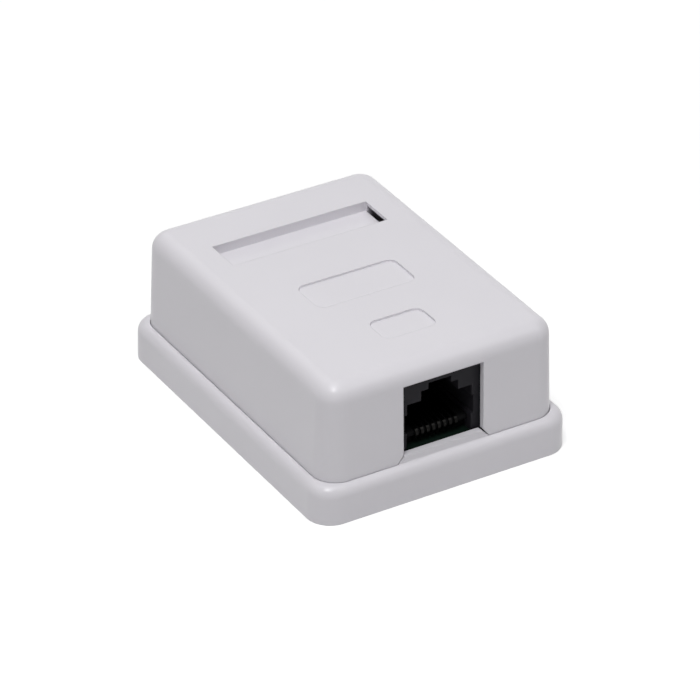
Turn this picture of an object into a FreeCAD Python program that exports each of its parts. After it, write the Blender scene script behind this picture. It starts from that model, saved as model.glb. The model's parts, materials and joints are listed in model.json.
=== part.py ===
import FreeCAD, Part
import math
import os
import re
import Sketcher

# Surface mount jack box: a tray-shaped base with a rim, a lift-off cover, and a small circuit board that
# carries one eight-way modular jack and two rows of insulation displacement terminals.
# Millimetres. Origin at the middle of the base's underside, +X across the short side, -Y towards the
# jack, +Z up.

SIZES = {
    # base tray
    "base_width": 46.1,
    "base_length": 61.0,
    "base_height": 6.55,
    "base_corner": 4.2,
    "base_draft": 0.6,
    "floor_thick": 2.0,
    "rim_side": 1.66,
    "rim_end": 1.4,
    "rim_round": 1.9,
    "seam_gap": 0.09,
    "crack_gap": 0.1,
    "seat_gap": 0.1,
    # sill that closes the foot of the jack window
    "sill_rise": 1.1,
    "sill_lean": 0.15,
    "sill_thick": 1.2,
    "flare_reach": 1.0,
    "flare_rise": 1.3,
    # walls that locate the cover, and the snap arms between them
    "locator_gap": 0.22,
    "locator_thick": 1.2,
    "locator_rise": 1.2,
    "locator_length": 12.0,
    "locator_place": 16.0,
    "end_locator_length": 5.0,
    "end_locator_place": 14.2,
    "arm_thick": 1.2,
    "arm_length": 8.0,
    "arm_setback": 0.4,
    "catch_reach": 0.5,
    "catch_foot": 2.75,
    "catch_slope": 0.2,
    "catch_land": 0.65,
    "catch_lead": 0.9,
    "catch_length": 6.4,
    "catch_play": 0.1,
    # mounting screw holes
    "mount_spacing": 29.0,
    "mount_hole": 4.2,
    "mount_boss": 7.2,
    "mount_boss_rise": 0.8,
    # tie bridge for the cable
    "bridge_place": 20.5,
    "bridge_width": 9.0,
    "bridge_length": 3.0,
    "bridge_rise": 3.2,
    "bridge_slot_width": 5.0,
    "bridge_slot_rise": 1.7,
    # cover
    "cover_height": 23.13,
    "cover_draft": 1.85,
    "cover_corner": 3.9,
    "cover_round": 2.9,
    "cover_wall": 1.0,
    "cover_bevel": 1.1,
    "window_width": 14.5,
    "window_top": 19.95,
    "cheek_thick": 1.0,
    "cheek_length": 3.0,
    "cable_width": 8.0,
    "cable_rise": 6.2,
    "cable_corner": 2.6,
    # label recess and the two shallow panels on the top
    "label_width": 28.46,
    "label_length": 6.74,
    "label_depth": 1.7,
    "label_place": 14.73,
    "label_wall": 1.1,
    "label_lip": 0.57,
    "label_slot_reach": 1.5,
    "label_slot_inset": 0.4,
    "panel_depth": 0.35,
    "panel_shift": -0.26,
    "panel_corner": 1.5,
    "rear_panel_width": 17.9,
    "rear_panel_length": 7.52,
    "rear_panel_place": -3.1,
    "front_panel_width": 9.64,
    "front_panel_length": 5.81,
    "front_panel_place": -16.9,
    # circuit board and what holds it
    "board_thick": 1.6,
    "board_standoff": 3.65,
    "board_width": 21.6,
    "board_length": 42.4,
    "board_setback": 0.3,
    "rail_thick": 1.2,
    "rail_place": 9.0,
    "rail_front": 2.4,
    "rail_length": 15.0,
    "post_diameter": 5.0,
    "clip_thick": 1.2,
    "clip_length": 2.4,
    "clip_reach": 0.6,
    "clip_rise": 1.0,
    "hole_play": 0.1,
    # jack housing, measured from its face and from the board
    "jack_width": 15.2,
    "jack_height": 12.5,
    "jack_depth": 17.0,
    "port_width": 11.7,
    "port_top": 8.45,
    "port_depth": 12.4,
    "notch_width": 12.5,
    "notch_low": 3.25,
    "notch_top": 6.55,
    "step_width": 6.7,
    "step_top": 10.2,
    "latch_width": 4.1,
    "latch_top": 11.3,
    "keeper_thick": 1.3,
    "latch_depth": 8.0,
    "peg_diameter": 1.8,
    "peg_length": 2.4,
    "peg_place": 9.0,
    # insert that carries the eight contacts
    "insert_height": 10.5,
    "insert_lift": 0.05,
    "groove_rise": 1.5,
    "nose_thick": 1.1,
    "nose_setback": 1.0,
    "nose_reach": 1.0,
    "nose_round": 0.5,
    "comb_low": 2.6,
    "comb_top": 5.4,
    "comb_depth": 2.2,
    # jack contacts: flat wires bent round the insert's nose
    "wire_pitch": 1.016,
    "wire_width": 0.5,
    "wire_thick": 0.35,
    "wire_play": 0.05,
    "wire_bend": 0.5,
    "wire_rise": 6.0,
    "tail_out": 1.6,
    "tail_near": 13.6,
    "tail_stagger": 2.0,
    "tail_slot": 0.8,
    # terminal blocks and their forked contacts
    "terminal_pitch": 4.6,
    "terminal_width": 20.0,
    "terminal_depth": 8.0,
    "terminal_height": 11.0,
    "terminal_front": 19.4,
    "terminal_spacing": 9.9,
    "slot_width": 1.3,
    "slot_low": 3.4,
    "slot_lead": 0.8,
    "fork_width": 3.0,
    "fork_thick": 0.5,
    "fork_height": 8.6,
    "fork_slit": 0.36,
    "fork_slit_low": 3.6,
    "fork_lead": 0.6,
    "fork_tail": 0.8,
    "fork_slot": 1.2,
    # board screws
    "screw_inset": 2.6,
    "screw_shank": 2.2,
    "screw_length": 5.2,
    "screw_point": 0.9,
    "screw_head": 4.4,
    "screw_head_rise": 1.5,
    "screw_head_bevel": 0.5,
    "screw_recess": 2.4,
    "screw_recess_width": 0.55,
    "screw_recess_depth": 0.8,
    "screw_grip": 4.2,
}

CONTACTS = 8
TERMINALS = 4

# Distances worked out from the sizes above, as formulas of their names.
PLACES = {
    "rim_inner_x": "base_width / 2 - rim_side",
    "rim_inner_y": "base_length / 2 - rim_end",
    "cover_x": "rim_inner_x - seam_gap",
    "cover_y": "rim_inner_y - seam_gap",
    "sill_top": "base_height + sill_rise",
    "flare_top": "base_height + flare_rise",
    "window_half": "window_width / 2",
    "cavity_x": "cover_x - cover_wall",
    "cavity_y": "cover_y - cover_wall",
    "cavity_top": "cover_height - cover_wall",
    "locator_x": "cavity_x - locator_gap",
    "locator_y": "cavity_y - locator_gap",
    "locator_top": "base_height + locator_rise",
    "arm_x": "locator_x - arm_setback",
    "catch_low": "floor_thick + catch_foot",
    "catch_tip": "arm_x + catch_reach",
    "hook_tip": "arm_x + locator_gap",
    "hook_top": "catch_low - catch_play",
    "board_low": "floor_thick + board_standoff",
    "board_top": "board_low + board_thick",
    "jack_top": "board_top + jack_height",
    "jack_lean": "(jack_top - base_height) * tan(cover_draft * 1 deg)",
    "jack_face": "-(cavity_y - jack_lean - seat_gap)",
    "jack_back": "jack_face + jack_depth",
    "board_front": "jack_face + board_setback",
    "board_rear": "board_front + board_length",
    "board_middle": "board_front + board_length / 2",
    "insert_front": "jack_face + port_depth",
    "insert_low": "board_top + insert_lift",
    "groove_roof": "board_top + groove_rise",
    "nose_top": "groove_roof + nose_thick",
    "nose_face": "jack_face + nose_setback",
    "nose_centre": "nose_face + nose_thick / 2 - wire_play",
    "wire_run": "groove_roof - wire_thick / 2",
    "wire_turn": "(nose_thick + wire_thick) / 2",
    "wire_end": "insert_front + comb_depth / 2",
    "tail_low": "board_low - tail_out",
    "screw_x": "board_width / 2 - screw_inset",
    "screw_y": "board_rear - screw_inset",
    "label_floor": "cover_height - label_depth",
    "label_low": "label_floor - label_wall",
    "terminal_y": "jack_face + terminal_front + terminal_depth / 2",
}


def formula(text):
    """Write each name in text as a cell of the sheet, or as the place worked out from cells."""

    def meaning(match):
        word = match.group(0)
        if word in SIZES:
            return "Sizes." + word
        if word in PLACES:
            return "(" + formula(PLACES[word]) + ")"
        return word

    return re.sub(r"[a-z][a-z_]*", meaning, text)


document = FreeCAD.newDocument("jack_box")
sheet = document.addObject("Spreadsheet::Sheet", "Sizes")
for row, (alias, size) in enumerate(SIZES.items(), start=1):
    sheet.set(f"A{row}", alias)
    sheet.set(f"B{row}", str(size))
    sheet.setAlias(f"B{row}", alias)
document.recompute()


def value(text):
    """The number that a formula comes to."""
    return float(sheet.evalExpression(formula(text)))


def bind(target, path, text):
    """Tie one property to a formula of the sheet's cells."""
    target.setExpression(path, formula(text))


# Sketches


def new_body(name):
    body = document.addObject("PartDesign::Body", name)
    body.Label = name
    return body


def origin_feature(body, role):
    return next(item for item in body.Origin.OriginFeatures if item.Role == role)


def new_sketch(body, name, role, x="0", y="0", z="0"):
    """A sketch on one of the body's origin planes, moved by x, y and z in the plane's own directions.

    XY_Plane: x, y, z as in the body. XZ_Plane: X, Z and then -Y. YZ_Plane: Y, Z and then X.
    """
    sketch = body.newObject("Sketcher::SketchObject", body.Name + "_" + name)
    sketch.AttachmentSupport = [(origin_feature(body, role), "")]
    sketch.MapMode = "FlatFace"
    bind(sketch, "AttachmentOffset.Base.x", x)
    bind(sketch, "AttachmentOffset.Base.y", y)
    bind(sketch, "AttachmentOffset.Base.z", z)
    return sketch


def fix(sketch, kind, *where, to):
    """Add one dimension and tie it to a formula."""
    number = value(to)
    index = sketch.addConstraint(Sketcher.Constraint(kind, *where, number))
    bind(sketch, f"Constraints[{index}]", to)


def polygon(sketch, points):
    """A closed outline with straight sides through points given as pairs of formulas."""
    first = sketch.GeometryCount
    corners = [FreeCAD.Vector(value(x), value(y), 0) for x, y in points]
    count = len(points)
    for index in range(count):
        line = Part.LineSegment(corners[index], corners[(index + 1) % count])
        sketch.addGeometry(line, False)
    for index in range(count):
        following = first + (index + 1) % count
        sketch.addConstraint(Sketcher.Constraint("Coincident", first + index, 2, following, 1))
    for index, (x, y) in enumerate(points):
        fix(sketch, "DistanceX", -1, 1, first + index, 1, to=x)
        fix(sketch, "DistanceY", -1, 1, first + index, 1, to=y)


def mirrored_polygon(sketch, points):
    """A closed outline that is the same on both sides of the sketch's upright axis."""
    polygon(sketch, points + [(f"-({x})", y) for x, y in reversed(points)])


def rectangle(sketch, width, height, x="0", y="0"):
    left = f"{x} - ({width}) / 2"
    right = f"{x} + ({width}) / 2"
    low = f"{y} - ({height}) / 2"
    high = f"{y} + ({height}) / 2"
    polygon(sketch, [(left, low), (right, low), (right, high), (left, high)])


def rounded_rectangle(sketch, width, height, corner):
    """A rectangle with round corners about the sketch's origin: four sides and four tangent arcs."""
    half_width = value(width) / 2
    half_height = value(height) / 2
    radius = value(corner)
    inner_x = half_width - radius
    inner_y = half_height - radius
    up = FreeCAD.Vector(0, 0, 1)
    sides = [
        ((-inner_x, -half_height), (inner_x, -half_height)),
        ((half_width, -inner_y), (half_width, inner_y)),
        ((inner_x, half_height), (-inner_x, half_height)),
        ((-half_width, inner_y), (-half_width, -inner_y)),
    ]
    centres = [(inner_x, -inner_y), (inner_x, inner_y), (-inner_x, inner_y), (-inner_x, -inner_y)]
    for quarter in range(4):
        start, end = sides[quarter]
        sketch.addGeometry(Part.LineSegment(FreeCAD.Vector(*start, 0), FreeCAD.Vector(*end, 0)), False)
        circle = Part.Circle(FreeCAD.Vector(*centres[quarter], 0), up, radius)
        from_angle = math.radians(90 * quarter - 90)
        sketch.addGeometry(Part.ArcOfCircle(circle, from_angle, from_angle + math.pi / 2), False)
    for quarter in range(4):
        side = 2 * quarter
        arc = side + 1
        sketch.addConstraint(Sketcher.Constraint("Tangent", side, 2, arc, 1))
        sketch.addConstraint(Sketcher.Constraint("Tangent", arc, 2, (arc + 1) % 8, 1))
    sketch.addConstraint(Sketcher.Constraint("Horizontal", 0))
    sketch.addConstraint(Sketcher.Constraint("Vertical", 2))
    sketch.addConstraint(Sketcher.Constraint("Horizontal", 4))
    sketch.addConstraint(Sketcher.Constraint("Vertical", 6))
    for arc in (3, 5, 7):
        sketch.addConstraint(Sketcher.Constraint("Equal", 1, arc))
    sketch.addConstraint(Sketcher.Constraint("Symmetric", 1, 3, 5, 3, -1, 1))
    fix(sketch, "Radius", 1, to=corner)
    fix(sketch, "DistanceX", 6, 1, 2, 1, to=width)
    fix(sketch, "DistanceY", 0, 1, 4, 1, to=height)


def circle_at(sketch, diameter, x="0", y="0"):
    centre = FreeCAD.Vector(value(x), value(y), 0)
    ring = Part.Circle(centre, FreeCAD.Vector(0, 0, 1), value(diameter) / 2)
    index = sketch.addGeometry(ring, False)
    fix(sketch, "Diameter", index, to=diameter)
    fix(sketch, "DistanceX", -1, 1, index, 3, to=x)
    fix(sketch, "DistanceY", -1, 1, index, 3, to=y)


# Features


def finish_feature(body, feature, grows):
    """Rebuild, and stop if the feature failed or changed nothing in its body."""
    before = body.Shape.Volume if not body.Shape.isNull() else 0.0
    body.Tip = feature
    document.recompute()
    if "Invalid" in feature.State or feature.Shape.isNull():
        raise RuntimeError(f"{feature.Name} failed")
    change = feature.Shape.Volume - before
    if grows != (change > 0) or abs(change) < 1e-6:
        raise RuntimeError(f"{feature.Name} changed the volume by {change:.6f}")
    return feature


def pad(body, sketch, length, reverse=False, middle=False, taper="0"):
    """Add the sketch's outline, drawn out along its plane's direction."""
    feature = body.newObject("PartDesign::Pad", sketch.Name + "_pad")
    feature.Profile = sketch
    feature.Reversed = reverse
    feature.Midplane = middle
    bind(feature, "Length", length)
    bind(feature, "TaperAngle", taper)
    return finish_feature(body, feature, grows=True)


def pocket(body, sketch, length, reverse=False, middle=False, taper="0"):
    """Cut the sketch's outline, against its plane's direction unless reversed."""
    feature = body.newObject("PartDesign::Pocket", sketch.Name + "_cut")
    feature.Profile = sketch
    feature.Reversed = reverse
    feature.Midplane = middle
    bind(feature, "Length", length)
    bind(feature, "TaperAngle", taper)
    return finish_feature(body, feature, grows=False)


def edges_where(feature, test):
    """Names of the feature's edges whose every end passes the test."""
    names = []
    for index, edge in enumerate(feature.Shape.Edges, start=1):
        if all(test(vertex.Point) for vertex in edge.Vertexes):
            names.append(f"Edge{index}")
    return names


def edges_at_height(feature, height):
    level = value(height)
    return edges_where(feature, lambda point: abs(point.z - level) < 1e-4)


def round_edges(body, base, names, radius, grows=False):
    feature = body.newObject("PartDesign::Fillet", base.Name + "_round")
    feature.Base = (base, names)
    bind(feature, "Radius", radius)
    return finish_feature(body, feature, grows)


def bevel_edges(body, base, names, size, grows=False):
    feature = body.newObject("PartDesign::Chamfer", base.Name + "_bevel")
    feature.Base = (base, names)
    bind(feature, "Size", size)
    return finish_feature(body, feature, grows)


def mirror(body, original, role, grows):
    feature = body.newObject("PartDesign::Mirrored", original.Name + "_mirror")
    feature.Originals = [original]
    feature.MirrorPlane = (origin_feature(body, role), [""])
    return finish_feature(body, feature, grows)


def repeat_across(body, original, count, pitch, grows=False):
    """Copies of a feature along +X, pitch apart."""
    feature = body.newObject("PartDesign::LinearPattern", original.Name + "_row")
    feature.Originals = [original]
    feature.Direction = (origin_feature(body, "X_Axis"), [""])
    feature.Occurrences = count
    bind(feature, "Length", f"{count - 1} * {pitch}")
    return finish_feature(body, feature, grows)


# Sub-parts


def make_base():
    body = new_body("base")
    foot = new_sketch(body, "foot", "XY_Plane")
    rounded_rectangle(foot, "base_width", "base_length", "base_corner")
    block = pad(body, foot, "base_height", taper="-base_draft")
    round_edges(body, block, edges_at_height(block, "base_height"), "rim_round")

    tray = new_sketch(body, "tray", "XY_Plane", z="base_height")
    rounded_rectangle(tray, "2 * rim_inner_x", "2 * rim_inner_y", "cover_corner + seam_gap")
    pocket(body, tray, "base_height - floor_thick")

    add_sill(body)
    add_locators(body)
    add_board_supports(body)
    add_mount_holes(body)
    add_tie_bridge(body)
    return body


def add_sill(body):
    """The tongue that rises from the rim, flush with the cover's front, and closes the window's foot."""
    wide = "window_half + flare_reach - crack_gap"
    narrow = "window_half - crack_gap - sill_lean"
    tongue = new_sketch(body, "tongue", "XZ_Plane", z="cover_y")
    right_side = [(wide, "floor_thick"), (wide, "base_height"), (narrow, "sill_top")]
    mirrored_polygon(tongue, right_side)
    pad(body, tongue, "sill_thick", reverse=True)
    root = new_sketch(body, "tongue_root", "XZ_Plane", z="cover_y")
    mirrored_polygon(root, [(wide, "floor_thick"), (wide, "base_height")])
    pad(body, root, "seam_gap")


def add_locators(body):
    """Low walls just inside the cover's skirt, and one snap arm in the middle of each long side."""
    height = "locator_top - floor_thick"
    walls = new_sketch(body, "locators", "XY_Plane", z="floor_thick")
    for side in (-1, 1):
        for end in (-1, 1):
            x = f"{side} * (locator_x - locator_thick / 2)"
            rectangle(walls, "locator_thick", "locator_length", x, f"{end} * locator_place")
            y = f"{end} * (locator_y - locator_thick / 2)"
            rectangle(walls, "end_locator_length", "locator_thick", f"{side} * end_locator_place", y)
        rectangle(walls, "arm_thick", "arm_length", f"{side} * (arm_x - arm_thick / 2)")
    pad(body, walls, height)

    catch = new_sketch(body, "catch", "XZ_Plane")
    polygon(
        catch,
        [
            ("arm_x", "catch_low"),
            ("catch_tip", "catch_low + catch_slope"),
            ("catch_tip", "catch_low + catch_slope + catch_land"),
            ("arm_x", "catch_low + catch_slope + catch_land + catch_lead"),
        ],
    )
    ridge = pad(body, catch, "catch_length", middle=True)
    mirror(body, ridge, "YZ_Plane", grows=True)


def add_board_supports(body):
    """Rails and screw posts under the board, and two clips that hold down its long edges."""
    rails = new_sketch(body, "rails", "XY_Plane", z="floor_thick")
    for side in (-1, 1):
        rectangle(
            rails,
            "rail_thick",
            "rail_length",
            f"{side} * rail_place",
            "board_front + rail_front + rail_length / 2",
        )
        circle_at(rails, "post_diameter", f"{side} * screw_x", "screw_y")
    pad(body, rails, "board_standoff")

    pilots = new_sketch(body, "pilots", "XY_Plane", z="board_low")
    for side in (-1, 1):
        circle_at(pilots, "screw_shank", f"{side} * screw_x", "screw_y")
    pocket(body, pilots, "screw_grip")

    clip = new_sketch(body, "clip", "XZ_Plane", z="-(jack_back)")
    inner = "board_width / 2 + hole_play"
    polygon(
        clip,
        [
            (inner, "floor_thick"),
            (f"{inner} + clip_thick", "floor_thick"),
            (f"{inner} + clip_thick", "board_top + clip_rise"),
            (inner, "board_top + clip_rise"),
            ("board_width / 2 - clip_reach", "board_top + clip_rise / 2"),
            ("board_width / 2 - clip_reach", "board_top"),
            (inner, "board_top"),
        ],
    )
    right_clip = pad(body, clip, "clip_length", middle=True)
    mirror(body, right_clip, "YZ_Plane", grows=True)


def add_mount_holes(body):
    bosses = new_sketch(body, "bosses", "XY_Plane", z="floor_thick")
    holes = new_sketch(body, "holes", "XY_Plane", z="floor_thick + mount_boss_rise")
    for side in (-1, 1):
        circle_at(bosses, "mount_boss", f"{side} * mount_spacing / 2")
        circle_at(holes, "mount_hole", f"{side} * mount_spacing / 2")
    pad(body, bosses, "mount_boss_rise")
    pocket(body, holes, "floor_thick + mount_boss_rise")


def add_tie_bridge(body):
    """A low bridge on the floor that a cable tie passes under."""
    bridge = new_sketch(body, "bridge", "XY_Plane", z="floor_thick")
    rectangle(bridge, "bridge_width", "bridge_length", y="bridge_place")
    pad(body, bridge, "bridge_rise")
    slot = new_sketch(body, "bridge_slot", "XZ_Plane", z="-(bridge_place)")
    low = "floor_thick"
    high = "floor_thick + bridge_slot_rise"
    half = "bridge_slot_width / 2"
    mirrored_polygon(slot, [(half, low), (half, high)])
    pocket(body, slot, "bridge_length", middle=True)


def make_cover():
    """A drafted shell above the rim, on a straight skirt that stands inside the base's tray."""
    body = new_body("cover")
    block = cover_outline(body, "block", "0")
    shell = pad(body, block, "cover_height - base_height", taper="-cover_draft")
    round_edges(body, shell, edges_at_height(shell, "cover_height"), "cover_round")
    pad(body, cover_outline(body, "skirt", "0"), "base_height - floor_thick", reverse=True)

    hollow = cover_outline(body, "hollow", "cover_wall")
    cut = pocket(body, hollow, "cavity_top - base_height", reverse=True, taper="-cover_draft")
    bevel_edges(body, cut, edges_at_height(cut, "cavity_top"), "cover_bevel", grows=True)
    pocket(body, cover_outline(body, "skirt_hollow", "cover_wall"), "base_height - floor_thick")

    add_label_recess(body)
    add_panels(body)
    add_window(body)
    add_cable_notch(body)
    add_hooks(body)
    return body


def cover_outline(body, name, inset):
    """The cover's outline at the height of the rim, moved in by the inset."""
    sketch = new_sketch(body, name, "XY_Plane", z="base_height")
    width = f"2 * (cover_x - {inset})"
    length = f"2 * (cover_y - {inset})"
    rounded_rectangle(sketch, width, length, f"cover_corner - {inset}")
    return sketch


def add_label_recess(body):
    """A deep oblong recess with its own walls below the top, and a slot under the lip at each end."""
    walls = new_sketch(body, "label_walls", "XY_Plane", y="label_place", z="label_low")
    rectangle(walls, "label_width + 2 * label_wall", "label_length + 2 * label_wall")
    pad(body, walls, "cavity_top - label_low")
    recess = new_sketch(body, "label_recess", "XY_Plane", y="label_place", z="cover_height")
    rectangle(recess, "label_width", "label_length")
    pocket(body, recess, "label_depth")
    slots = new_sketch(body, "label_slots", "XY_Plane", y="label_place", z="label_low")
    for side in (-1, 1):
        x = f"{side} * (label_width + label_slot_reach) / 2"
        rectangle(slots, "label_slot_reach", "label_length - 2 * label_slot_inset", x)
    pocket(body, slots, "cover_height - label_lip - label_low", reverse=True)


def add_panels(body):
    """Two shallow plain fields on the top."""
    for name in ("rear_panel", "front_panel"):
        field = new_sketch(body, name, "XY_Plane", "panel_shift", name + "_place", "cover_height")
        rounded_rectangle(field, name + "_width", name + "_length", "panel_corner")
        pocket(body, field, "panel_depth")


def add_window(body):
    """The jack window, open at the foot, with a flared foot that clears the sill, and its two cheeks."""
    window = new_sketch(body, "window", "XZ_Plane", z="cover_y + seam_gap")
    wide = "window_half + flare_reach"
    right_side = [
        (wide, "floor_thick"),
        (wide, "base_height"),
        ("window_half", "flare_top"),
        ("window_half", "window_top"),
    ]
    mirrored_polygon(window, right_side)
    pocket(body, window, "2 * cover_wall + seam_gap")

    cheeks = new_sketch(body, "cheeks", "XY_Plane", z="sill_top")
    for side in (-1, 1):
        x = f"{side} * (jack_width / 2 + locator_gap + cheek_thick / 2)"
        y = "-(cavity_y) + (cheek_length - cover_wall / 2) / 2"
        rectangle(cheeks, "cheek_thick", "cheek_length + cover_wall / 2", x, y)
    pad(body, cheeks, "window_top - sill_top")


def add_cable_notch(body):
    """The cable's way out: a round-topped notch through the rear wall."""
    top = "base_height + cable_rise"
    notch = new_sketch(body, "cable_notch", "XZ_Plane", y="floor_thick", z="-(cover_y + seam_gap)")
    rounded_rectangle(notch, "cable_width", f"2 * ({top} - floor_thick)", "cable_corner")
    pocket(body, notch, "2 * cover_wall + seam_gap", reverse=True)


def add_hooks(body):
    """A hook inside each long wall that snaps below the catch of the base's arm."""
    hook = new_sketch(body, "hook", "XZ_Plane")
    wall = "cavity_x + cover_wall / 2"
    polygon(
        hook,
        [
            (wall, "hook_top - catch_slope - catch_land - catch_lead"),
            ("hook_tip", "hook_top - catch_slope - catch_land"),
            ("hook_tip", "hook_top - catch_slope"),
            (wall, "hook_top"),
        ],
    )
    ridge = pad(body, hook, "catch_length", middle=True)
    mirror(body, ridge, "YZ_Plane", grows=True)


def make_circuit_board():
    body = new_body("circuit_board")
    plate = new_sketch(body, "plate", "XY_Plane", y="board_middle", z="board_low")
    rectangle(plate, "board_width", "board_length")
    pad(body, plate, "board_thick")

    holes = new_sketch(body, "holes", "XY_Plane", z="board_top")
    for index in range(CONTACTS):
        rectangle(holes, "tail_slot", "tail_slot", contact_place(index), tail_place(index))
    for row in range(2):
        for index in range(TERMINALS):
            rectangle(holes, "fork_slot", "tail_slot", terminal_place(index), terminal_row(row))
    for side in (-1, 1):
        circle_at(holes, "peg_diameter + 2 * hole_play", f"{side} * ({peg_place()})", "jack_face + peg_place")
        circle_at(holes, "screw_shank + 2 * hole_play", f"{side} * screw_x", "screw_y")
    pocket(body, holes, "board_thick")
    return body


def peg_place():
    return "(jack_width + port_width) / 4"


def contact_place(index):
    """Across the jack, evenly about its middle."""
    return f"{index - (CONTACTS - 1) / 2} * wire_pitch"


def tail_place(index):
    """Neighbouring tails stand in two staggered rows."""
    return f"jack_face + tail_near + {index % 2} * tail_stagger"


def terminal_place(index):
    return f"{index - (TERMINALS - 1) / 2} * terminal_pitch"


def terminal_row(row):
    return f"terminal_y + {row} * terminal_spacing"


def make_jack_housing():
    body = new_body("jack_housing")
    shell = new_sketch(body, "shell", "XZ_Plane", z="-(jack_face)")
    mirrored_polygon(shell, [("jack_width / 2", "board_top"), ("jack_width / 2", "jack_top")])
    pad(body, shell, "jack_depth", reverse=True)

    port = new_sketch(body, "port", "XZ_Plane", z="-(jack_face)")
    right_side = [
        ("port_width / 2", "board_top"),
        ("port_width / 2", "board_top + notch_low"),
        ("notch_width / 2", "board_top + notch_low"),
        ("notch_width / 2", "board_top + notch_top"),
        ("port_width / 2", "board_top + notch_top"),
        ("port_width / 2", "board_top + port_top"),
        ("step_width / 2", "board_top + port_top"),
        ("step_width / 2", "board_top + step_top"),
        ("latch_width / 2", "board_top + step_top"),
        ("latch_width / 2", "board_top + latch_top"),
    ]
    mirrored_polygon(port, right_side)
    pocket(body, port, "port_depth")

    latch = new_sketch(body, "latch", "XZ_Plane", z="-(jack_face + keeper_thick)")
    half = "step_width / 2"
    mirrored_polygon(latch, [(half, "board_top + port_top"), (half, "board_top + latch_top")])
    pocket(body, latch, "latch_depth")

    back = new_sketch(body, "back", "XZ_Plane", z="-(jack_back)")
    half = "port_width / 2"
    mirrored_polygon(back, [(half, "board_top"), (half, "board_top + insert_height + seat_gap")])
    pocket(body, back, "jack_depth - port_depth", reverse=True)

    pegs = new_sketch(body, "pegs", "XY_Plane", z="board_top")
    for side in (-1, 1):
        circle_at(pegs, "peg_diameter", f"{side} * ({peg_place()})", "jack_face + peg_place")
    pad(body, pegs, "peg_length", reverse=True)
    return body


def make_contact_insert():
    """Floor with a thin nose for the contacts, and a block behind it with a comb for their free ends."""
    body = new_body("contact_insert")
    side = new_sketch(body, "side", "YZ_Plane")
    polygon(
        side,
        [
            ("nose_face", "groove_roof"),
            ("nose_face + nose_reach", "groove_roof"),
            ("nose_face + nose_reach", "insert_low"),
            ("jack_back", "insert_low"),
            ("jack_back", "board_top + insert_height"),
            ("insert_front", "board_top + insert_height"),
            ("insert_front", "nose_top"),
            ("nose_face", "nose_top"),
        ],
    )
    block = pad(body, side, "port_width - 2 * seat_gap", middle=True)
    face = value("nose_face")
    nose_edges = edges_where(block, lambda point: abs(point.y - face) < 1e-4)
    long_edges = [name for name in nose_edges if block.Shape.getElement(name).Length > 2 * value("nose_thick")]
    round_edges(body, block, long_edges, "nose_round")

    groove = new_sketch(body, "groove", "XY_Plane", z="insert_low")
    first = contact_place(0)
    width = "wire_width + 2 * wire_play"
    middle = "(nose_face + nose_reach + jack_back) / 2"
    rectangle(groove, width, "jack_back - nose_face - nose_reach", first, middle)
    cut = pocket(body, groove, "groove_roof - insert_low", reverse=True)
    repeat_across(body, cut, CONTACTS, "wire_pitch")

    comb = new_sketch(body, "comb", "XZ_Plane", z="-(insert_front)")
    middle = "board_top + (comb_low + comb_top) / 2"
    rectangle(comb, width, "comb_top - comb_low", first, middle)
    cut = pocket(body, comb, "comb_depth")
    repeat_across(body, cut, CONTACTS, "wire_pitch")
    return body


def make_jack_contact(index):
    """One flat wire: tail through the board, run below the insert, round its nose and up to the comb."""
    body = new_body(f"jack_contact_{index + 1}")
    path = new_sketch(body, "path", "YZ_Plane")
    tail_y = value(tail_place(index))
    low = value("tail_low")
    run = value("wire_run")
    bend = value("wire_bend")
    turn = value("wire_turn")
    centre = value("nose_centre")
    end = value("wire_end")
    rise = math.radians(value("wire_rise"))
    up = FreeCAD.Vector(0, 0, 1)
    start_y = centre - turn * math.sin(rise)
    start_z = run + turn + turn * math.cos(rise)
    end_z = start_z + (end - start_y) * math.tan(rise)
    tail = Part.LineSegment(FreeCAD.Vector(tail_y, low, 0), FreeCAD.Vector(tail_y, run - bend, 0))
    corner = Part.Circle(FreeCAD.Vector(tail_y - bend, run - bend, 0), up, bend)
    level = Part.LineSegment(FreeCAD.Vector(tail_y - bend, run, 0), FreeCAD.Vector(centre, run, 0))
    nose = Part.Circle(FreeCAD.Vector(centre, run + turn, 0), up, turn)
    slope = Part.LineSegment(FreeCAD.Vector(start_y, start_z, 0), FreeCAD.Vector(end, end_z, 0))
    path.addGeometry(tail, False)
    path.addGeometry(Part.ArcOfCircle(corner, 0, math.pi / 2), False)
    path.addGeometry(level, False)
    path.addGeometry(Part.ArcOfCircle(nose, math.pi / 2 + rise, 1.5 * math.pi), False)
    path.addGeometry(slope, False)
    path.addConstraint(Sketcher.Constraint("Tangent", 0, 2, 1, 1))
    path.addConstraint(Sketcher.Constraint("Tangent", 1, 2, 2, 1))
    path.addConstraint(Sketcher.Constraint("Tangent", 2, 2, 3, 2))
    path.addConstraint(Sketcher.Constraint("Tangent", 3, 1, 4, 1))
    path.addConstraint(Sketcher.Constraint("Vertical", 0))
    path.addConstraint(Sketcher.Constraint("Horizontal", 2))
    fix(path, "DistanceX", -1, 1, 0, 1, to=tail_place(index))
    fix(path, "DistanceY", -1, 1, 0, 1, to="tail_low")
    fix(path, "Radius", 1, to="wire_bend")
    fix(path, "DistanceY", -1, 1, 2, 2, to="wire_run")
    fix(path, "Radius", 3, to="wire_turn")
    fix(path, "DistanceX", -1, 1, 3, 3, to="nose_centre")
    fix(path, "DistanceX", -1, 1, 4, 2, to="wire_end")
    angle = path.addConstraint(Sketcher.Constraint("Angle", 4, rise))
    bind(path, f"Constraints[{angle}]", "wire_rise * 1 deg")

    section = new_sketch(body, "section", "XY_Plane", y=tail_place(index), z="tail_low")
    rectangle(section, "wire_width", "wire_thick")
    wire = body.newObject("PartDesign::AdditivePipe", body.Name + "_wire")
    wire.Profile = section
    wire.Spine = (path, [])
    finish_feature(body, wire, grows=True)
    bind(body, "Placement.Base.x", contact_place(index))
    return body


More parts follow.
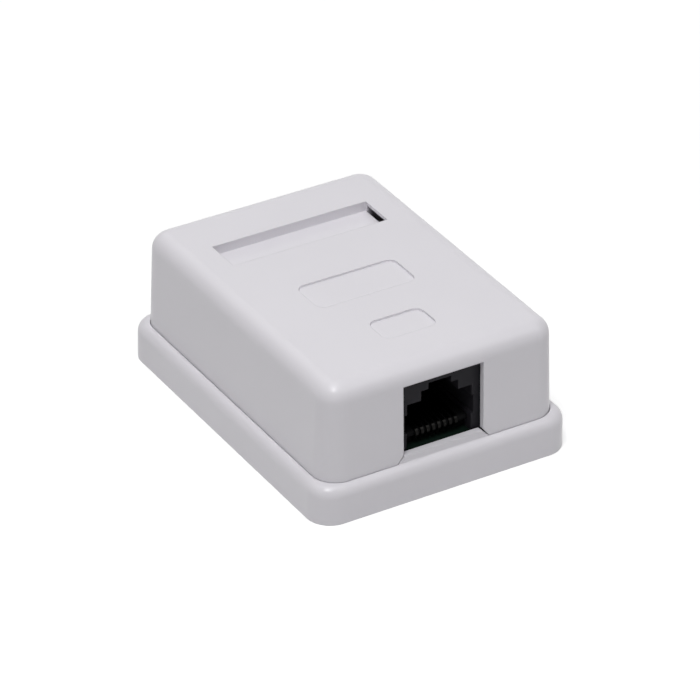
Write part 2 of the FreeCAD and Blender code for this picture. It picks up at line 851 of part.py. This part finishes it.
def make_terminal_block(name, row):
    body = new_body(name)
    block = new_sketch(body, "block", "XY_Plane", z="board_top")
    rectangle(block, "terminal_width", "terminal_depth")
    pad(body, block, "terminal_height")
    top = "board_top + terminal_height"

    slot = new_sketch(body, "slot", "XZ_Plane", x=terminal_place(0))
    right_side = [
        ("slot_width / 2", "board_top + slot_low"),
        ("slot_width / 2", f"{top} - slot_lead"),
        ("slot_width / 2 + slot_lead", top),
    ]
    mirrored_polygon(slot, right_side)
    cut = pocket(body, slot, "terminal_depth", middle=True)
    repeat_across(body, cut, TERMINALS, "terminal_pitch")

    seat = new_sketch(body, "seat", "XY_Plane", x=terminal_place(0), z="board_top")
    rectangle(seat, "fork_width + 2 * seat_gap", "fork_thick + 2 * seat_gap")
    cut = pocket(body, seat, "fork_height + seat_gap", reverse=True)
    repeat_across(body, cut, TERMINALS, "terminal_pitch")
    bind(body, "Placement.Base.y", terminal_row(row))
    return body


def make_terminal_contact(name, row, index):
    """A flat blade with a forked top that grips the wire, and a tail through the board."""
    body = new_body(name)
    blade = new_sketch(body, "blade", "XZ_Plane")
    right_side = [
        ("fork_tail / 2", "tail_low"),
        ("fork_tail / 2", "board_top"),
        ("fork_width / 2", "board_top"),
        ("fork_width / 2", "board_top + fork_height"),
        ("fork_slit / 2 + fork_lead", "board_top + fork_height"),
        ("fork_slit / 2", "board_top + fork_height - fork_lead"),
        ("fork_slit / 2", "board_top + fork_slit_low"),
    ]
    mirrored_polygon(blade, right_side)
    pad(body, blade, "fork_thick", middle=True)
    bind(body, "Placement.Base.x", terminal_place(index))
    bind(body, "Placement.Base.y", terminal_row(row))
    return body


def make_board_screws():
    """Two pan-head screws turned about their own axis, the second a mirror of the first."""
    body = new_body("board_screws")
    half = new_sketch(body, "half", "XZ_Plane", x="screw_x", z="-(screw_y)")
    tip = "board_top - screw_length"
    polygon(
        half,
        [
            ("0", tip),
            ("screw_shank / 2", f"{tip} + screw_point"),
            ("screw_shank / 2", "board_top"),
            ("screw_head / 2", "board_top"),
            ("screw_head / 2", "board_top + screw_head_rise - screw_head_bevel"),
            ("screw_head / 2 - screw_head_bevel", "board_top + screw_head_rise"),
            ("0", "board_top + screw_head_rise"),
        ],
    )
    turned = body.newObject("PartDesign::Revolution", "board_screws_turned")
    turned.Profile = half
    turned.ReferenceAxis = (half, ["V_Axis"])
    turned.Angle = 360
    finish_feature(body, turned, grows=True)

    cross = new_sketch(body, "cross", "XY_Plane", "screw_x", "screw_y", "board_top + screw_head_rise")
    long = "screw_recess / 2"
    thin = "screw_recess_width / 2"
    quarter = [(long, f"-({thin})"), (long, thin), (thin, thin), (thin, long)]
    mirrored_polygon(cross, [(thin, f"-({long})"), (thin, f"-({thin})")] + quarter)
    pocket(body, cross, "screw_recess_depth")
    other = body.newObject("PartDesign::Mirrored", "board_screws_pair")
    other.MirrorPlane = (origin_feature(body, "YZ_Plane"), [""])
    other.TransformMode = "Whole shape"
    finish_feature(body, other, grows=True)
    return body


def build():
    parts = [
        make_base(),
        make_cover(),
        make_circuit_board(),
        make_jack_housing(),
        make_contact_insert(),
        make_board_screws(),
    ]
    for index in range(CONTACTS):
        parts.append(make_jack_contact(index))
    for row, name in enumerate(("front", "rear")):
        parts.append(make_terminal_block(f"terminal_block_{name}", row))
        for index in range(TERMINALS):
            number = row * TERMINALS + index + 1
            parts.append(make_terminal_contact(f"terminal_contact_{number}", row, index))
    document.recompute()
    for item in document.Objects:
        if "Invalid" in item.State or "Error" in item.State:
            raise RuntimeError(f"{item.Name} is {item.State}")
    for part in parts:
        if part.Shape.isNull() or not part.Shape.isValid():
            raise RuntimeError(f"{part.Label} has no valid shape")
    return parts


def write(parts):
    os.makedirs("parts", exist_ok=True)
    for part in parts:
        part.Shape.exportStep(os.path.join("parts", part.Label + ".step"))


write(build())
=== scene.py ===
import json
import math

import bpy
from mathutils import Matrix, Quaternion, Vector

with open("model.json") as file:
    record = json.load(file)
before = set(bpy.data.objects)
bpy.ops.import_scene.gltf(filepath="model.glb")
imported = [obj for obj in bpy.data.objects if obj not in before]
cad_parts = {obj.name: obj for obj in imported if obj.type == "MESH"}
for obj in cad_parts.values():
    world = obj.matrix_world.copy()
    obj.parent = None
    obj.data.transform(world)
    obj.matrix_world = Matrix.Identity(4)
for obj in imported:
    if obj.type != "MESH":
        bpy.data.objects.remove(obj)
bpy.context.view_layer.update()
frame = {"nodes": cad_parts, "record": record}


# Materials
#
# Lengths are in metres, and a noise scale is roughly the number of waves in a metre of the object.

SHADE_SCALE = 60.0
SHEEN_SCALE = 240.0
GRAIN_SCALE = 5000.0
GRAIN_HEIGHT = 0.00002
METAL_SHADE_SCALE = 700.0
METAL_WEAR_SCALE = 2600.0
RAMP_START = 0.3
RAMP_END = 0.7
EDGE_SAMPLES = 6


def new_material(name):
    material = bpy.data.materials.new(name)
    material.use_nodes = True
    tree = material.node_tree
    return material, tree, tree.nodes["Principled BSDF"]


def noise(tree, scale, detail):
    """Noise over the object's own coordinates, so it stays with the piece."""
    coords = tree.nodes.new("ShaderNodeTexCoord")
    texture = tree.nodes.new("ShaderNodeTexNoise")
    texture.inputs["Scale"].default_value = scale
    texture.inputs["Detail"].default_value = detail
    texture.inputs["Roughness"].default_value = 0.5
    tree.links.new(coords.outputs["Object"], texture.inputs["Vector"])
    return texture.outputs["Fac"]


def between(tree, factor, low, high):
    """A colour that runs from low to high over the middle of the factor's range."""
    ramp = tree.nodes.new("ShaderNodeValToRGB")
    start, end = ramp.color_ramp.elements
    start.position, end.position = RAMP_START, RAMP_END
    start.color, end.color = (*low, 1.0), (*high, 1.0)
    tree.links.new(factor, ramp.inputs["Fac"])
    return ramp.outputs["Color"]


def level_between(tree, factor, low, high):
    """A number that runs from low to high over the middle of the factor's range."""
    return between(tree, factor, [low] * 3, [high] * 3)


def add_bump(tree, shader, factor, strength, edge_radius):
    """Fine grain over edges that catch the light as if they were rounded to the given radius."""
    edges = tree.nodes.new("ShaderNodeBevel")
    edges.samples = EDGE_SAMPLES
    edges.inputs["Radius"].default_value = edge_radius
    bump = tree.nodes.new("ShaderNodeBump")
    bump.inputs["Strength"].default_value = strength
    bump.inputs["Distance"].default_value = GRAIN_HEIGHT
    tree.links.new(factor, bump.inputs["Height"])
    tree.links.new(edges.outputs["Normal"], bump.inputs["Normal"])
    tree.links.new(bump.outputs["Normal"], shader.inputs["Normal"])


def moulded_plastic(name, low, high, roughness, grain, specular, edge_radius):
    """Plastic whose colour drifts from low to high, with an uneven sheen and a fine grain."""
    material, tree, shader = new_material(name)
    shader.inputs["Specular IOR Level"].default_value = specular
    shade = noise(tree, SHADE_SCALE, detail=4.0)
    tree.links.new(between(tree, shade, low, high), shader.inputs["Base Color"])
    sheen = noise(tree, SHEEN_SCALE, detail=3.0)
    tree.links.new(level_between(tree, sheen, *roughness), shader.inputs["Roughness"])
    add_bump(tree, shader, noise(tree, GRAIN_SCALE, detail=2.0), grain, edge_radius)
    return material


def metal(name, low, high, roughness):
    """Metal whose colour drifts from low to high, with wear in its polish."""
    material, tree, shader = new_material(name)
    shader.inputs["Metallic"].default_value = 1.0
    shade = noise(tree, METAL_SHADE_SCALE, detail=3.0)
    tree.links.new(between(tree, shade, low, high), shader.inputs["Base Color"])
    wear = noise(tree, METAL_WEAR_SCALE, detail=2.0)
    tree.links.new(level_between(tree, wear, *roughness), shader.inputs["Roughness"])
    return material


white_plastic = moulded_plastic(
    "white_plastic",
    low=(0.768, 0.75, 0.792),
    high=(0.782, 0.764, 0.806),
    roughness=(0.29, 0.35),
    grain=0.12,
    specular=0.5,
    edge_radius=0.0002,
)
black_plastic = moulded_plastic(
    "black_plastic",
    low=(0.0148, 0.0142, 0.0178),
    high=(0.018, 0.0173, 0.021),
    roughness=(0.45, 0.55),
    grain=0.2,
    specular=0.12,
    edge_radius=0.00015,
)
# The insert's colour is painted shade: darkened well below the black plastic's own colour to stand for
# the shade inside the port.
insert_plastic = moulded_plastic(
    "insert_plastic",
    low=(0.0036, 0.0036, 0.004),
    high=(0.0046, 0.0046, 0.005),
    roughness=(0.6, 0.7),
    grain=0.2,
    specular=0.05,
    edge_radius=0.00015,
)
ivory_plastic = moulded_plastic(
    "ivory_plastic",
    low=(0.66, 0.65, 0.58),
    high=(0.7, 0.69, 0.62),
    roughness=(0.4, 0.5),
    grain=0.15,
    specular=0.5,
    edge_radius=0.00015,
)
# The board's colour is painted shade: a near-black green, darker than the board's own green, standing
# for the shade under and inside the jack.
painted_shade_laminate = moulded_plastic(
    "painted_shade_laminate",
    low=(0.0045, 0.0105, 0.0075),
    high=(0.006, 0.014, 0.01),
    roughness=(0.4, 0.5),
    grain=0.1,
    specular=0.1,
    edge_radius=0.0001,
)
# The contact wires' colour is painted shade: near-black grey instead of gold plate, standing for the
# deep shade inside the port.
painted_shade_contact_metal = metal("painted_shade_contact_metal", low=(0.0075, 0.0072, 0.007), high=(0.0125, 0.012, 0.0115), roughness=(0.22, 0.32))
tin = metal("tin", low=(0.6, 0.6, 0.58), high=(0.74, 0.74, 0.72), roughness=(0.3, 0.42))
zinc = metal("zinc", low=(0.55, 0.55, 0.57), high=(0.7, 0.7, 0.74), roughness=(0.28, 0.4))

MATERIAL_OF_SLOT = {
    "shell_plastic": white_plastic,
    "jack_plastic": black_plastic,
    "insert_plastic": insert_plastic,
    "terminal_plastic": ivory_plastic,
    "board_laminate": painted_shade_laminate,
    "contact_gold": painted_shade_contact_metal,
    "terminal_metal": tin,
    "screw_steel": zinc,
}

for subpart in frame["record"]["subparts"]:
    mesh = frame["nodes"][subpart["node"]].data
    mesh.materials.clear()
    mesh.materials.append(MATERIAL_OF_SLOT[subpart["material_slot"]])


# Floor and backdrop

FLOOR_HALF = 2.0
FLOOR_WHITE = 0.8
FLOOR_GLOW_NEAR = 0.42
FLOOR_GLOW_FAR = 1.0
FADE_START = 0.1
FADE_END = 0.7
AMBIENT = 0.08
BACKDROP = 1.0


def scaled(tree, value, factor):
    """The value times a number or another value."""
    product = tree.nodes.new("ShaderNodeMath")
    product.operation = "MULTIPLY"
    tree.links.new(value, product.inputs[0])
    if isinstance(factor, float):
        product.inputs[1].default_value = factor
    else:
        tree.links.new(factor, product.inputs[1])
    return product.outputs[0]


def larger(tree, first, second):
    node = tree.nodes.new("ShaderNodeMath")
    node.operation = "MAXIMUM"
    tree.links.new(first, node.inputs[0])
    tree.links.new(second, node.inputs[1])
    return node.outputs[0]


def seen(tree):
    """1 for what the camera sees, straight, reflected or through glass, and 0 otherwise."""
    path = tree.nodes.new("ShaderNodeLightPath").outputs
    reflected = larger(tree, path["Is Glossy Ray"], path["Is Transmission Ray"])
    return larger(tree, path["Is Camera Ray"], reflected)


def fade_to_white(tree):
    """The floor's own brightness: low enough near the object to keep its shadow, white far away."""
    coords = tree.nodes.new("ShaderNodeTexCoord")
    away = tree.nodes.new("ShaderNodeVectorMath")
    away.operation = "LENGTH"
    tree.links.new(coords.outputs["Object"], away.inputs[0])
    fade = tree.nodes.new("ShaderNodeMapRange")
    fade.inputs["From Min"].default_value = FADE_START
    fade.inputs["From Max"].default_value = FADE_END
    fade.inputs["To Min"].default_value = FLOOR_GLOW_NEAR
    fade.inputs["To Max"].default_value = FLOOR_GLOW_FAR
    tree.links.new(away.outputs["Value"], fade.inputs["Value"])
    return fade.outputs["Result"]


def make_floor():
    mesh = bpy.data.meshes.new("floor")
    corners = [(-1, -1), (1, -1), (1, 1), (-1, 1)]
    mesh.from_pydata([(FLOOR_HALF * x, FLOOR_HALF * y, 0.0) for x, y in corners], [], [(0, 1, 2, 3)])
    floor = bpy.data.objects.new("floor", mesh)
    bpy.context.collection.objects.link(floor)
    material, tree, shader = new_material("floor_white")
    shader.inputs["Base Color"].default_value = (FLOOR_WHITE, FLOOR_WHITE, FLOOR_WHITE, 1.0)
    shader.inputs["Roughness"].default_value = 0.9
    shader.inputs["Specular IOR Level"].default_value = 0.0
    shader.inputs["Emission Color"].default_value = (1.0, 1.0, 1.0, 1.0)
    glow = scaled(tree, seen(tree), fade_to_white(tree))
    tree.links.new(glow, shader.inputs["Emission Strength"])
    mesh.materials.append(material)


def make_world():
    """Faint plain light from all round. The camera and reflections see a white backdrop instead."""
    world = bpy.data.worlds.new("studio")
    world.use_nodes = True
    tree = world.node_tree
    background = tree.nodes["Background"]
    background.inputs["Color"].default_value = (1.0, 1.0, 1.0, 1.0)
    total = tree.nodes.new("ShaderNodeMath")
    total.operation = "ADD"
    total.inputs[1].default_value = AMBIENT
    tree.links.new(scaled(tree, seen(tree), BACKDROP - AMBIENT), total.inputs[0])
    tree.links.new(total.outputs[0], background.inputs["Strength"])
    bpy.context.scene.world = world


# Lights and camera

CAMERA_AZIMUTH = -31.25
CAMERA_ELEVATION = 31.93
CAMERA_ROLL = 0.43
CAMERA_DISTANCE = 0.733
CAMERA_TARGET = Vector((-0.00207, -0.00425, 0.012))
CAMERA_LENS = 239.1


def add_light(name, place, size, power):
    """A square softbox that faces the object."""
    lamp = bpy.data.lights.new(name, "AREA")
    lamp.shape = "SQUARE"
    lamp.size = size
    lamp.energy = power
    softbox = bpy.data.objects.new(name, lamp)
    softbox.location = place
    softbox.rotation_euler = (-Vector(place)).to_track_quat("-Z", "Y").to_euler()
    bpy.context.collection.objects.link(softbox)


def make_camera():
    """A long lens that looks down at the jack's corner. Azimuth 0 would look along +Y."""
    data = bpy.data.cameras.new("camera")
    data.lens = CAMERA_LENS
    data.sensor_width = 36.0
    data.clip_start = 0.01
    camera = bpy.data.objects.new("camera", data)
    azimuth = math.radians(CAMERA_AZIMUTH)
    elevation = math.radians(CAMERA_ELEVATION)
    across = math.cos(elevation)
    outwards = Vector((math.sin(azimuth) * across, -math.cos(azimuth) * across, math.sin(elevation)))
    camera.location = CAMERA_TARGET + outwards * CAMERA_DISTANCE
    roll = Quaternion((0, 0, 1), math.radians(CAMERA_ROLL))
    camera.rotation_euler = ((-outwards).to_track_quat("-Z", "Y") @ roll).to_euler()
    bpy.context.collection.objects.link(camera)
    bpy.context.scene.camera = camera


make_floor()
make_world()
add_light("key", (-0.2, -0.2, 0.6), size=0.2, power=1.83)
add_light("overhead", (0.0, 0.0, 0.6), size=0.3, power=0.78)
add_light("front_right", (0.3, -0.3, 0.5), size=0.3, power=0.43)
add_light("rear", (0.0, 0.6, 0.75), size=0.8, power=1.15)
add_light("low_left", (-0.55, -0.3, 0.15), size=0.3, power=0.08)
make_camera()
bpy.context.scene.view_settings.view_transform = "Standard"
